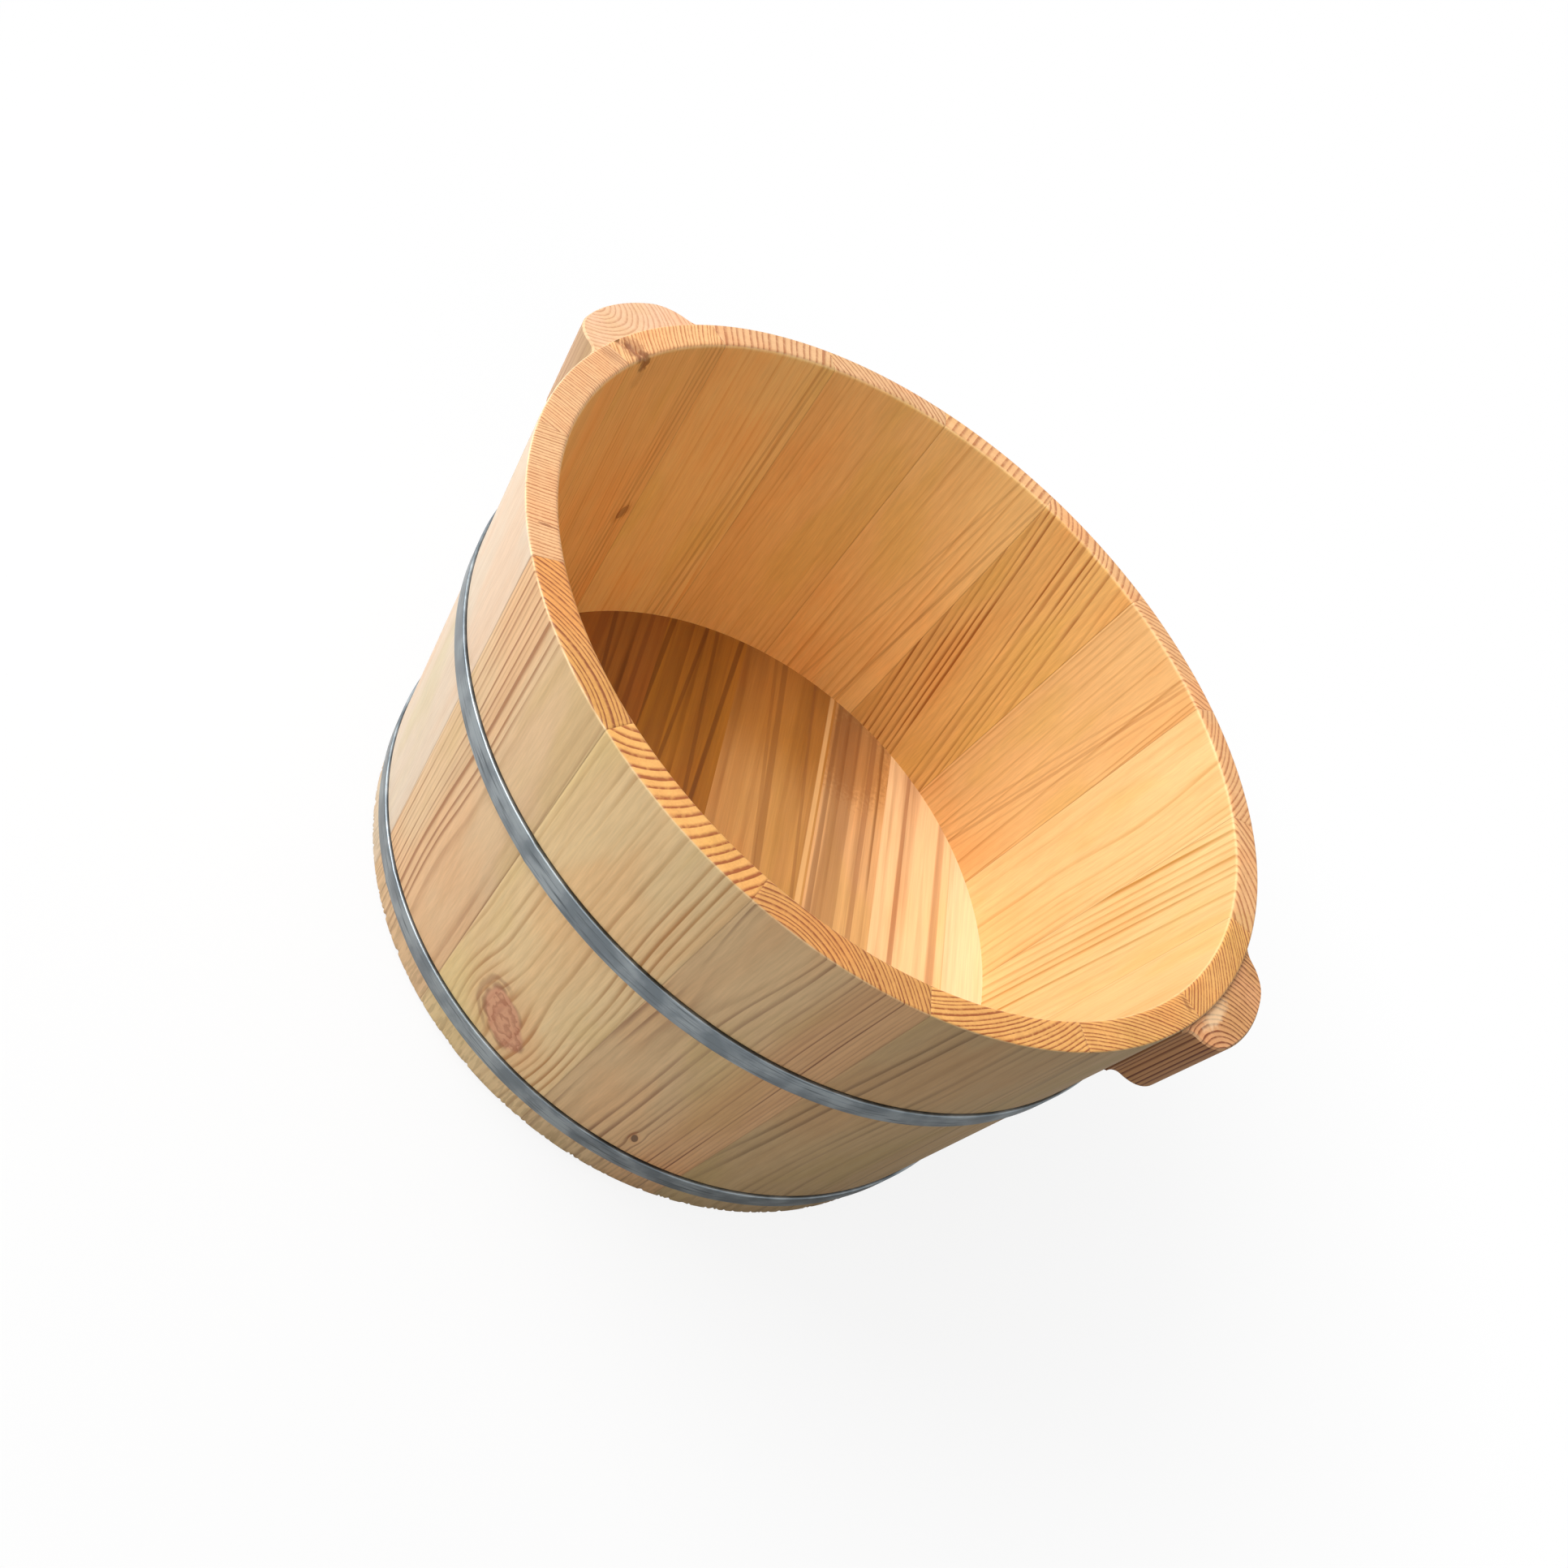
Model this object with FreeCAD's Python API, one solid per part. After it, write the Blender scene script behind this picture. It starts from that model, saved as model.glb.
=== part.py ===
import FreeCAD, Part
import math
import os

# Wooden foot bath: an open coopered tub of staves that lean out round a board floor,
# held by two flat steel hoops, with two solid wooden ear handles at the rim.
# Millimetres, +Z up. The origin is the middle of the base, on the ground.
# The handles stand near the ends of the X axis, both turned a little towards -Y.

# Tub wall
rim_diameter = 360.0
base_diameter = 332.0
tub_height = 200.0
wall_thickness = 12.5
stave_count = 16
rim_outer_bevel = 1.2
rim_inner_bevel = 2.0
base_bevel = 1.2

# Floor: edge-glued boards whose rebated edge stands in a groove of the staves
floor_lift = 16.0
floor_thickness = 13.0
floor_tongue = 8.0
floor_groove_depth = 5.0
floor_edge_clearance = 0.4
floor_grain_angle = 120.5
floor_board_widths = (30.5, 47.0, 40.5, 61.5, 47.0, 45.0, 47.5)

# Hoops: flat bar lying in shallow grooves round the wall
hoop_width = 11.0
hoop_thickness = 2.0
hoop_groove_depth = 0.8
hoop_groove_slack = 0.9
hoop_seat_clearance = 0.1
lower_hoop_lift = 15.0
handle_to_hoop_gap = 22.5
weld_bead_radius = 1.6
weld_bead_rise = 0.35
weld_bead_inset = 0.4
upper_weld_angle = 260.3
lower_weld_angle = 242.3

# Ear handles: one bell shape in plan, run down along the slope of the wall
handle_height = 41.0
handle_drop = 2.0
handle_reach = 18.2
handle_nose_radius = 70.0
handle_shoulder_radius = 18.0
handle_shoulder_spread = 15.8
handle_flare_radius = 8.5
handle_feather = 0.8
handle_edge_bevel = 0.8
handle_glue_line = 0.1
handle_angles = (-2.7, 182.1)

# Whittled bamboo pins between staves and between floor boards, dowels behind the handles
pin_clearance = 0.1
pin_sides = 6
stave_pin_width = 4.0
stave_pin_length = 22.0
stave_pin_above_base = 62.0
stave_pin_below_rim = 42.0
floor_pin_width = 5.0
floor_pin_length = 24.0
floor_pin_inset = 18.0
handle_dowel_diameter = 8.0
handle_dowel_in_wall = 7.0
handle_dowel_in_handle = 11.0
handle_dowel_spacing = 30.0
handle_dowel_depth_below_top = 21.0

# Worked out from the sizes above
rim_radius = rim_diameter / 2
base_radius = base_diameter / 2
wall_slope = (rim_radius - base_radius) / tub_height
wall_lean = math.degrees(math.atan(wall_slope))
stave_face_radius = (rim_radius + base_radius) / 2
stave_angle = 360.0 / stave_count
groove_top = floor_lift + floor_thickness
groove_bottom = groove_top - floor_tongue
handle_top = tub_height - handle_drop
upper_hoop_lift = handle_top - handle_height - handle_to_hoop_gap - hoop_width
stave_pin_lifts = (stave_pin_above_base, tub_height - stave_pin_below_rim)

ORIGIN = FreeCAD.Vector(0, 0, 0)
UP = FreeCAD.Vector(0, 0, 1)


def outer_radius(height):
    """Radius of the outside of the wall at a height above the base."""
    return base_radius + wall_slope * height


def inner_radius(height):
    """Radius of the inside of the wall at a height above the base."""
    return outer_radius(height) - wall_thickness / math.cos(math.radians(wall_lean))


groove_radius = inner_radius(groove_bottom) + floor_groove_depth
floor_radius = groove_radius - floor_edge_clearance
rebate_radius = inner_radius(floor_lift) - floor_edge_clearance


def turned(shape, degrees):
    """A copy of the shape, turned about the middle line of the tub."""
    copy = shape.copy()
    copy.rotate(ORIGIN, UP, degrees)
    return copy


def section_face(points):
    """A flat face in the XZ plane from (radius, height) points."""
    corners = [FreeCAD.Vector(r, 0, z) for r, z in points]
    return Part.Face(Part.makePolygon(corners + corners[:1]))


def moulded_board():
    """A long board planed round outside and hollow inside, leaning out as in the wall."""
    inside = stave_face_radius - wall_thickness
    low = -wall_thickness
    high = tub_height + 2 * wall_thickness
    section = section_face([
        (inside, low), (stave_face_radius, low), (stave_face_radius, high), (inside, high),
    ])
    board = turned(section.revolve(ORIGIN, UP, 2 * stave_angle), -stave_angle)
    board.translate(FreeCAD.Vector(base_radius - stave_face_radius, 0, 0))
    board.rotate(FreeCAD.Vector(base_radius, 0, 0), FreeCAD.Vector(0, 1, 0), wall_lean)
    return board


def joint_wedge():
    """The room between the two joint planes of one stave, from the base to the rim."""
    far = 2 * rim_radius
    half = math.radians(stave_angle / 2)
    left = FreeCAD.Vector(math.cos(half), math.sin(half), 0) * far
    right = FreeCAD.Vector(math.cos(half), -math.sin(half), 0) * far
    face = Part.Face(Part.makePolygon([ORIGIN, right, left, ORIGIN]))
    return face.extrude(UP * tub_height)


def turning_cut(points):
    """What a tool takes off one stave when the wall is turned, by (radius, height) points."""
    ring = section_face(points).revolve(ORIGIN, UP, 2 * stave_angle)
    return turned(ring, -stave_angle)


def hoop_groove(lift):
    """The shallow groove that one hoop lies in."""
    low = lift
    high = lift + hoop_width + hoop_groove_slack
    return turning_cut([
        (outer_radius(low) - hoop_groove_depth, low),
        (outer_radius(low) + wall_thickness, low),
        (outer_radius(high) + wall_thickness, high),
        (outer_radius(high) - hoop_groove_depth, high),
    ])


def floor_groove():
    """The square groove round the inside that holds the tongue of the floor."""
    inside = inner_radius(0) - wall_thickness
    return turning_cut([
        (inside, groove_bottom), (groove_radius, groove_bottom),
        (groove_radius, groove_top), (inside, groove_top),
    ])


def edge_bevel(corner, on_end, on_wall):
    """A bevel that takes a corner of the wall away, through a point on each of its faces."""
    corner, on_end, on_wall = [FreeCAD.Vector(r, 0, z) for r, z in (corner, on_end, on_wall)]
    beyond = [on_end * 2 - on_wall, on_wall * 2 - on_end, corner * 3 - on_end - on_wall]
    return turning_cut([(point.x, point.z) for point in beyond])


def whittled_pin(middle, width, length):
    """A straight pin along Y with flat whittled sides, of a width across its corners."""
    corners = []
    for side in range(pin_sides):
        angle = math.radians(side * 360.0 / pin_sides)
        across = FreeCAD.Vector(math.cos(angle), 0, math.sin(angle)) * (width / 2)
        corners.append(middle + across - FreeCAD.Vector(0, length / 2, 0))
    face = Part.Face(Part.makePolygon(corners + corners[:1]))
    return face.extrude(FreeCAD.Vector(0, length, 0))


def stave_pin_radius(height):
    """Pins between staves run in the middle of the wall."""
    return outer_radius(height) - wall_thickness / 2


def stave_pins(angle, clearance):
    """The pins, or their holes, across the joint at the given angle."""
    width = stave_pin_width + 2 * clearance
    length = stave_pin_length + 2 * clearance
    pins = []
    for lift in stave_pin_lifts:
        middle = FreeCAD.Vector(stave_pin_radius(lift), 0, lift)
        pins.append(turned(whittled_pin(middle, width, length), angle))
    return pins


def end_bevels():
    """The bevels on both corners of the rim and on the outer corner of the base."""
    rim_out = tub_height - rim_outer_bevel
    rim_in = tub_height - rim_inner_bevel
    mouth = inner_radius(tub_height)
    return [
        edge_bevel(
            (rim_radius, tub_height),
            (rim_radius - rim_outer_bevel, tub_height), (outer_radius(rim_out), rim_out)),
        edge_bevel(
            (mouth, tub_height),
            (mouth + rim_inner_bevel, tub_height), (inner_radius(rim_in), rim_in)),
        edge_bevel(
            (base_radius, 0),
            (base_radius - base_bevel, 0), (outer_radius(base_bevel), base_bevel)),
    ]


def plain_stave():
    """One stave on the +X side: bevelled edges, grooves, bevelled ends and pin holes."""
    stave = moulded_board().common(joint_wedge())
    cuts = [hoop_groove(lower_hoop_lift), hoop_groove(upper_hoop_lift), floor_groove()]
    cuts += end_bevels()
    for side in (-1, 1):
        cuts += stave_pins(side * stave_angle / 2, pin_clearance)
    return stave.cut(cuts)


def handle_dowels(clearance):
    """The two dowels, or their holes, that tie the handle on the +X side to the wall."""
    height = handle_top - handle_dowel_depth_below_top
    radius = handle_dowel_diameter / 2 + clearance
    length = handle_dowel_in_wall + handle_dowel_in_handle + 2 * clearance
    dowels = []
    for side in (-1, 1):
        across = side * handle_dowel_spacing / 2
        wall_face = math.sqrt(outer_radius(height) ** 2 - across ** 2)
        start = FreeCAD.Vector(wall_face - handle_dowel_in_wall - clearance, across, height)
        dowels.append(Part.makeCylinder(radius, length, start, FreeCAD.Vector(1, 0, 0)))
    return dowels


def arc_middle(centre, first, last):
    """The middle point of the short arc between two points of a circle."""
    radius = (first - centre).Length
    towards = (first + last) * 0.5 - centre
    return centre + towards * (radius / towards.Length)


def handle_outline():
    """Bell shape in plan at the top of the handle: broad nose, round shoulders, hollow flares."""
    wall_face = outer_radius(handle_top)
    foot_radius = wall_face + handle_glue_line + handle_feather
    inset = handle_nose_radius - handle_shoulder_radius
    nose = FreeCAD.Vector(wall_face + handle_reach - handle_nose_radius, 0, handle_top)
    shoulder_x = nose.x + math.sqrt(inset ** 2 - handle_shoulder_spread ** 2)
    to_shoulder = math.hypot(shoulder_x, handle_shoulder_spread)
    to_flare = foot_radius + handle_flare_radius
    reach = handle_shoulder_radius + handle_flare_radius
    cosine = (to_flare ** 2 + to_shoulder ** 2 - reach ** 2) / (2 * to_flare * to_shoulder)
    flare_angle = math.atan2(handle_shoulder_spread, shoulder_x) + math.acos(cosine)
    top = FreeCAD.Vector(0, 0, handle_top)
    edges = []
    feet = []
    brows = []
    for side in (-1, 1):
        spread = FreeCAD.Vector(math.cos(flare_angle), side * math.sin(flare_angle), 0)
        flare = spread * to_flare + top
        shoulder = FreeCAD.Vector(shoulder_x, side * handle_shoulder_spread, handle_top)
        bend = shoulder + (flare - shoulder) * (handle_shoulder_radius / reach)
        brow = nose + (shoulder - nose) * (handle_nose_radius / inset)
        foot = spread * foot_radius + top
        root = spread * inner_radius(handle_top) + top
        edges.append(Part.Arc(foot, arc_middle(flare, foot, bend), bend).toShape())
        edges.append(Part.Arc(bend, arc_middle(shoulder, bend, brow), brow).toShape())
        edges.append(Part.LineSegment(foot, root).toShape())
        brows.append(brow)
        feet.append(root)
    tip = nose + FreeCAD.Vector(handle_nose_radius, 0, 0)
    edges.append(Part.Arc(brows[0], tip, brows[1]).toShape())
    edges.append(Part.LineSegment(feet[0], feet[1]).toShape())
    return Part.Face(Part.Wire(Part.__sortEdges__(edges)))


def wall_cone(gap):
    """A cone that fills the tub out to its outside face and a gap, past both its ends."""
    low = -wall_thickness
    high = tub_height + wall_thickness
    foot = FreeCAD.Vector(0, 0, low)
    cone = Part.makeCone(outer_radius(low) + gap, outer_radius(high) + gap, high - low, foot)
    return turned(cone, 90)


def plain_handle():
    """One ear handle on the +X side, leaning with the wall and hollowed to fit its cone."""
    handle = handle_outline().extrude(UP * -handle_height)
    end_curves = [edge for edge in handle.Edges if edge.Curve.TypeId == "Part::GeomCircle"]
    handle = handle.makeChamfer(handle_edge_bevel, end_curves)
    pivot = FreeCAD.Vector(outer_radius(handle_top), 0, handle_top)
    handle.rotate(pivot, FreeCAD.Vector(0, 1, 0), wall_lean)
    handle = handle.cut(wall_cone(handle_glue_line))
    return handle.cut(handle_dowels(pin_clearance))


def hoop(lift, weld_angle):
    """A flat bar bent and welded into a ring that follows the slope of the wall."""
    inside = hoop_seat_clearance - hoop_groove_depth
    outside = inside + hoop_thickness
    low = lift
    high = lift + hoop_width
    section = section_face([
        (outer_radius(low) + inside, low),
        (outer_radius(low) + outside, low),
        (outer_radius(high) + outside, high),
        (outer_radius(high) + inside, high),
    ])
    ring = section.revolve(ORIGIN, UP, 360)
    bead = weld_bead(low + weld_bead_inset, high - weld_bead_inset, weld_angle)
    return ring.fuse(bead).removeSplitter()


def weld_bead(low, high, angle):
    """The low rounded bead where the two ends of a hoop's bar are welded together."""
    inside = hoop_seat_clearance - hoop_groove_depth
    axis = inside + hoop_thickness + weld_bead_rise - weld_bead_radius
    start = FreeCAD.Vector(outer_radius(low) + axis, 0, low)
    along = FreeCAD.Vector(wall_slope, 0, 1)
    length = (high - low) * along.Length
    bead = Part.makeCylinder(weld_bead_radius, length, start, along)
    return turned(bead.cut(wall_cone(inside)), angle)


def floor_bounds():
    """Where the boards begin and end across the floor: their widths shared out over it."""
    scale = 2 * floor_radius / sum(floor_board_widths)
    bounds = [-floor_radius]
    for width in floor_board_widths:
        bounds.append(bounds[-1] + width * scale)
    return bounds


def floor_pins(clearance):
    """The pins, or their holes, that line up the boards: two at each joint, near its ends."""
    width = floor_pin_width + 2 * clearance
    length = floor_pin_length + 2 * clearance
    height = floor_lift + floor_thickness / 2
    pins = []
    for joint in floor_bounds()[1:-1]:
        pin_end = abs(joint) + floor_pin_length / 2
        along = math.sqrt(rebate_radius ** 2 - pin_end ** 2) - floor_pin_inset
        for side in (-1, 1):
            middle = FreeCAD.Vector(side * along, joint, height)
            pins.append(turned(whittled_pin(middle, width, length), floor_grain_angle))
    return pins


def floor_disc():
    """The whole floor: a disc with a step cut under its edge, which leaves the tongue."""
    upper = Part.makeCylinder(floor_radius, floor_tongue, FreeCAD.Vector(0, 0, groove_bottom))
    step = groove_bottom - floor_lift
    lower = Part.makeCylinder(rebate_radius, step, FreeCAD.Vector(0, 0, floor_lift))
    return upper.fuse(lower).removeSplitter()


def floor_boards():
    """The floor cut into its boards, from one side of the tub to the other."""
    disc = floor_disc().cut(floor_pins(pin_clearance))
    bounds = floor_bounds()
    boards = []
    for low, high in zip(bounds, bounds[1:]):
        corner = FreeCAD.Vector(-floor_radius, low, floor_lift)
        slab = Part.makeBox(2 * floor_radius, high - low, floor_thickness, corner)
        boards.append(disc.common(turned(slab, floor_grain_angle)))
    return boards


def write(name, shape):
    """Write one piece, or one group of like pieces, as a STEP file."""
    shape.exportStep("parts/" + name + ".step")


def main():
    os.makedirs("parts", exist_ok=True)

    stave = plain_stave()
    dowel_holes = []
    for angle in handle_angles:
        dowel_holes += [turned(hole, angle) for hole in handle_dowels(pin_clearance)]
    for index in range(stave_count):
        piece = turned(stave, index * stave_angle)
        under_handle = any(piece.distToShape(hole)[0] < pin_clearance for hole in dowel_holes)
        if under_handle:
            piece = piece.cut(dowel_holes)
        write("stave_%02d" % (index + 1), piece)

    for index, board in enumerate(floor_boards()):
        write("floor_board_%d" % (index + 1), board)

    write("upper_hoop", hoop(upper_hoop_lift, upper_weld_angle))
    write("lower_hoop", hoop(lower_hoop_lift, lower_weld_angle))

    handle = plain_handle()
    dowels = []
    for index, angle in enumerate(handle_angles):
        write("handle_%d" % (index + 1), turned(handle, angle))
        dowels += [turned(dowel, angle) for dowel in handle_dowels(0)]
    write("handle_dowels", Part.makeCompound(dowels))

    pins = []
    for index in range(stave_count):
        pins += stave_pins((index + 0.5) * stave_angle, 0)
    write("stave_pins", Part.makeCompound(pins))
    write("floor_pins", Part.makeCompound(floor_pins(0)))


main()
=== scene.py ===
# %% [markdown]
# # A coopered foot bath in Blender
# The tub is a ring of sixteen pine staves round a board floor, with two steel hoops and two
# solid ear handles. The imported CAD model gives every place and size. This lesson dresses it:
# a camera, a pale studio, wood that is drawn in three dimensions, and finer meshes for the
# parts whose edges catch the light. All lengths are metres, and +Z is up.

# %% The frame
import math
import random

import bmesh
import bpy
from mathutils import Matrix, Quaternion, Vector


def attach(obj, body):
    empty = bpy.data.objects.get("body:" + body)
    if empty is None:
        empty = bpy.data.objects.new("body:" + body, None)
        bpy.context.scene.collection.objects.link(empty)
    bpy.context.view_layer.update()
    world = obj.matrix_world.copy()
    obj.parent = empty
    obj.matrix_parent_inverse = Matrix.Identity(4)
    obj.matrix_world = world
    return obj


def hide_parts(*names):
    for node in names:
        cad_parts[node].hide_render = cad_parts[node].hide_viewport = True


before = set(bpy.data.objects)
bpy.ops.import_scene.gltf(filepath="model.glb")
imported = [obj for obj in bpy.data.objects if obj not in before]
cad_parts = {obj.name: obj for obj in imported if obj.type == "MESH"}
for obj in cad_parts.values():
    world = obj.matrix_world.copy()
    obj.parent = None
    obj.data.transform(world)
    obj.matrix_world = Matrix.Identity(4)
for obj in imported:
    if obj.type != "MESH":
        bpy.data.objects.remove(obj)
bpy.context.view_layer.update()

mm = 0.001

# %% [markdown]
# ## The camera
# A photograph fixes where its camera stood. Here the rim's ellipse, the floor's ellipse and the
# two hoops were enough to find the place, the tilt and the focal length. The camera was rolled
# by almost half a right angle, so the tub seems to tip towards us. A level camera is aimed
# first, and then rolled round its own line of sight. That is easier to follow than three
# Euler angles.

# %% Camera
camera_place = Vector((0.0595, -0.4724, 0.4977))
line_of_sight = Vector((-0.0503, 0.7672, -0.6394))
roll = math.radians(46.56)
camera = bpy.data.objects.new("studio_camera", bpy.data.cameras.new("studio_camera"))
camera.data.lens = 31.05
camera.data.shift_x = -0.0455
camera.data.shift_y = 0.0259
level = line_of_sight.to_track_quat("-Z", "Y")
camera.rotation_mode = "QUATERNION"
camera.rotation_quaternion = Quaternion(line_of_sight, -roll) @ level
camera.location = camera_place
bpy.context.scene.collection.objects.link(camera)
bpy.context.scene.camera = camera
bpy.context.view_layer.update()
print("camera up", [round(v, 4) for v in camera.matrix_world.col[1][:3]])

# %% [markdown]
# ## Small tools for shader nodes
# A material is a graph of nodes. Writing each node and link by hand hides the idea, so a few
# short functions do it: each takes numbers or sockets, and gives back the socket that carries
# the result.

# %% Node helpers for numbers
def feed(tree, source, target):
    """Feeds a socket from another socket, or sets it to a plain value."""
    if isinstance(source, bpy.types.NodeSocket):
        tree.links.new(source, target)
    else:
        target.default_value = source


def calc(tree, operation, *values):
    """One Math node."""
    node = tree.nodes.new("ShaderNodeMath")
    node.operation = operation
    for socket, value in zip(node.inputs, values):
        feed(tree, value, socket)
    return node.outputs[0]


def product(tree, first, *others):
    """The product of several values."""
    for value in others:
        first = calc(tree, "MULTIPLY", first, value)
    return first


def largest(tree, first, *others):
    """The largest of several values."""
    for value in others:
        first = calc(tree, "MAXIMUM", first, value)
    return first


def diagonal(tree, one, other):
    """The length of a diagonal, from its two sides."""
    return calc(tree, "SQRT", calc(
        tree, "ADD", calc(tree, "MULTIPLY", one, one), calc(tree, "MULTIPLY", other, other)))


def offset(tree, value, middle, half):
    """How far a value lies from a middle, counted in half widths."""
    return calc(tree, "DIVIDE", calc(tree, "SUBTRACT", value, middle), half)


def ramp(tree, value, low, high, to_low=0.0, to_high=1.0):
    """A smooth step from to_low to to_high while the value goes from low to high."""
    node = tree.nodes.new("ShaderNodeMapRange")
    node.interpolation_type = "SMOOTHSTEP"
    for socket, given in zip(node.inputs, (value, low, high, to_low, to_high)):
        feed(tree, given, socket)
    return node.outputs[0]


def hill(tree, value, foot, top, edge, end):
    """Rises smoothly from 0 to 1 between foot and top, and falls again between edge and end."""
    return calc(tree, "MULTIPLY", ramp(tree, value, foot, top), ramp(tree, value, edge, end, 1.0, 0.0))


# %% Node helpers for vectors, noise and colours
def vector_calc(tree, operation, *values):
    """One Vector Math node with a vector for its result."""
    node = tree.nodes.new("ShaderNodeVectorMath")
    node.operation = operation
    for socket, value in zip(node.inputs, values):
        feed(tree, value, socket)
    return node.outputs[0]


def vector_number(tree, operation, *values):
    """One Vector Math node with a number for its result, such as a length."""
    return vector_calc(tree, operation, *values).node.outputs["Value"]


def parts(tree, vector):
    """The three numbers of a vector."""
    node = tree.nodes.new("ShaderNodeSeparateXYZ")
    feed(tree, vector, node.inputs[0])
    return node.outputs


def joined(tree, *numbers):
    """A vector from its three numbers."""
    node = tree.nodes.new("ShaderNodeCombineXYZ")
    for socket, value in zip(node.inputs, numbers):
        feed(tree, value, socket)
    return node.outputs[0]


def grit(tree, point, scale, detail=2.0, stretch=(1.0, 1.0, 1.0)):
    """Noise between 0 and 1 in a point's own space, which may be stretched."""
    node = tree.nodes.new("ShaderNodeTexNoise")
    feed(tree, vector_calc(tree, "MULTIPLY", point, stretch), node.inputs["Vector"])
    node.inputs["Scale"].default_value = scale
    node.inputs["Detail"].default_value = detail
    return node.outputs[0]


def blend(tree, amount, first, second, how="MIX"):
    """Mixes two colours."""
    node = tree.nodes.new("ShaderNodeMix")
    node.data_type = "RGBA"
    node.blend_type = how
    feed(tree, amount, node.inputs["Factor"])
    colours = [s for s in node.inputs if s.type == "RGBA"]
    feed(tree, first, colours[0])
    feed(tree, second, colours[1])
    return [s for s in node.outputs if s.type == "RGBA"][0]


def srgb(red, green, blue):
    """A colour read as on a screen, 0 to 255, as the linear values that shaders use."""
    def linear(v):
        v /= 255
        return v / 12.92 if v <= 0.04045 else ((v + 0.055) / 1.055) ** 2.4
    return (linear(red), linear(green), linear(blue), 1.0)


def bumped(tree, shader, height, strength, distance):
    """Gives a shader its bump from a height between 0 and about 1."""
    bump = tree.nodes.new("ShaderNodeBump")
    bump.inputs["Strength"].default_value = strength
    bump.inputs["Distance"].default_value = distance
    feed(tree, height, bump.inputs["Height"])
    feed(tree, bump.outputs[0], shader.inputs["Normal"])


print("middle grey as a linear value", round(srgb(128, 128, 128)[0], 3))


# %% Node groups with named sockets
def start_group(name, inputs, outputs):
    """An empty shader node group, its input sockets by name and its output node."""
    group = bpy.data.node_groups.new(name, "ShaderNodeTree")
    for label, kind, value in inputs:
        socket = group.interface.new_socket(label, in_out="INPUT", socket_type=kind)
        if value is not None:
            socket.default_value = value
    for label, kind in outputs:
        group.interface.new_socket(label, in_out="OUTPUT", socket_type=kind)
    given = group.nodes.new("NodeGroupInput").outputs
    result = group.nodes.new("NodeGroupOutput").inputs
    return group, given, result


def place_group(tree, group, **values):
    """Puts a group into a material. A name such as ring_width sets the socket Ring Width."""
    node = tree.nodes.new("ShaderNodeGroup")
    node.node_tree = group
    for label, value in values.items():
        feed(tree, value, node.inputs[label.replace("_", " ").title()])
    return node.outputs


def seeded(tree, given):
    """The group's point, moved by its seed, so that each board has its own noise."""
    seed = given["Seed"]
    return vector_calc(tree, "ADD", given["Point"], joined(tree, seed, seed, seed))


FLOAT, VECTOR = "NodeSocketFloat", "NodeSocketVector"

# %% [markdown]
# ## Wood that has an inside
# A tree grows one ring a year round its pith. A board is a cut through those rings, so the
# lines on its face and the arcs on its end are two views of the same thing. If the pattern is
# a function of a point in space, not of the surface, both views agree by themselves. Each
# board then needs only the place of its pith and the width of its rings. A pith that drifts
# sideways along the board gives the pointed arches that a joiner calls cathedrals.
# A board's own axes are depth, across and along: the grain runs along.

# %% Growth rings: how far a point is from the pith
rings_group, given, result = start_group(
    "growth rings",
    [("Point", VECTOR, None), ("Pith Depth", FLOAT, 0.2), ("Pith Across", FLOAT, 0.0),
     ("Drift Depth", FLOAT, 0.0), ("Drift Across", FLOAT, 0.0), ("Drift From", FLOAT, 0.2),
     ("Ring Width", FLOAT, 0.002), ("Wander", FLOAT, 0.002), ("Push", FLOAT, 0.0),
     ("Seed", FLOAT, 0.0)],
    [("Latewood", FLOAT), ("Ring Tone", FLOAT)])
tree = rings_group
depth, across, along = parts(tree, given["Point"])
height = calc(tree, "SUBTRACT", along, given["Drift From"])
off_depth = calc(tree, "SUBTRACT", depth, calc(
    tree, "MULTIPLY_ADD", height, given["Drift Depth"], given["Pith Depth"]))
off_across = calc(tree, "SUBTRACT", across, calc(
    tree, "MULTIPLY_ADD", height, given["Drift Across"], given["Pith Across"]))
moved = seeded(tree, given)
slow = calc(tree, "SUBTRACT", grit(tree, moved, 11.0, 1.0, (1.0, 1.0, 0.25)), 0.5)
fast = calc(tree, "SUBTRACT", grit(tree, moved, 150.0, 2.0, (1.0, 1.0, 0.10)), 0.5)
bend = calc(tree, "MULTIPLY", given["Wander"], calc(
    tree, "MULTIPLY_ADD", fast, 0.30, calc(tree, "MULTIPLY", slow, 2.0)))
distance = calc(tree, "ADD", diagonal(tree, off_depth, off_across), bend)
distance = calc(tree, "ADD", distance, given["Push"])
print("nodes for the distance", len(tree.nodes))

# %% Growth rings: from distance to years
years = calc(tree, "DIVIDE", distance, given["Ring Width"])
uneven = tree.nodes.new("ShaderNodeTexNoise")
uneven.noise_dimensions = "1D"
uneven.inputs["Scale"].default_value = 0.35
uneven.inputs["Detail"].default_value = 1.0
feed(tree, calc(tree, "ADD", years, given["Seed"]), uneven.inputs["W"])
years = calc(tree, "MULTIPLY_ADD", uneven.outputs[0], 1.1, years)
# the dark latewood grows slowly darker through the year, and ends at once in winter
feed(tree, hill(tree, calc(tree, "FRACT", years), 0.42, 0.86, 0.90, 1.0), result["Latewood"])
tone = tree.nodes.new("ShaderNodeTexWhiteNoise")
tone.noise_dimensions = "1D"
feed(tree, calc(tree, "ADD", calc(tree, "FLOOR", years), given["Seed"]), tone.inputs["W"])
feed(tree, tone.outputs["Value"], result["Ring Tone"])
print("group", rings_group.name, "nodes", len(rings_group.nodes))

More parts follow.
